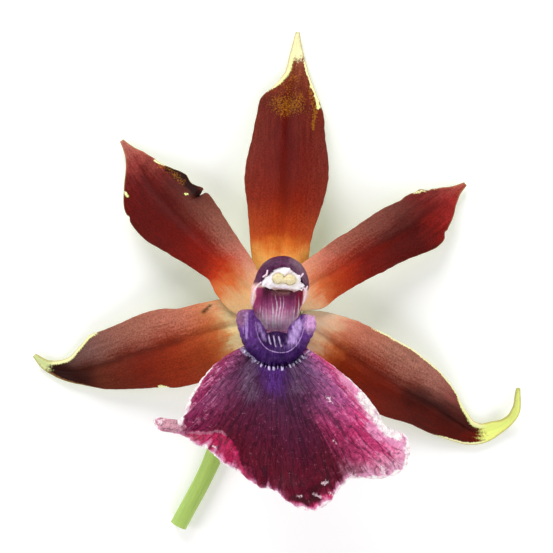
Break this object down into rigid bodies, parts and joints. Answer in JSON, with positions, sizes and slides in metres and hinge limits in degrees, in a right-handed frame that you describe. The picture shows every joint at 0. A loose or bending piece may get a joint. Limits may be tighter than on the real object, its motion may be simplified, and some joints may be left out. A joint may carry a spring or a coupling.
{
  "type": "zygopetalum orchid flower",
  "caption": "Picked zygopetalum orchid flower, lying face up: brown-red sepals and petals, a frilled violet lip with a horseshoe callus, hooded column, and ovary on a cut stalk.",
  "frame": {"origin": "on the surface the flower lies on, under the middle of its outline", "axes": "+Y towards the dorsal sepal, -Y towards the lip, +X to the right seen from the face, +Z out of the face"},
  "size_m": [0.0854, 0.0872, 0.0256],
  "materials": {
    "tepal": "waxy petal, yellow-green under merged red-brown blotches",
    "lip": "velvety petal, violet to magenta with dark veins and a pale edge",
    "column": "smooth fleshy tissue, purple with pale stripes",
    "anther": "soft matt white",
    "pollen": "waxy yellow",
    "stalk": "smooth waxy green"
  },
  "bodies": {
    "root": {"dorsal_sepal": "tepal", "lateral_sepal_left": "tepal", "lateral_sepal_right": "tepal", "petal_left": "tepal", "petal_right": "tepal", "lip": "lip", "column": "column", "anther_cap": "anther", "pollinarium": "pollen", "ovary_and_stalk": "stalk"}
  },
  "joints": []
}
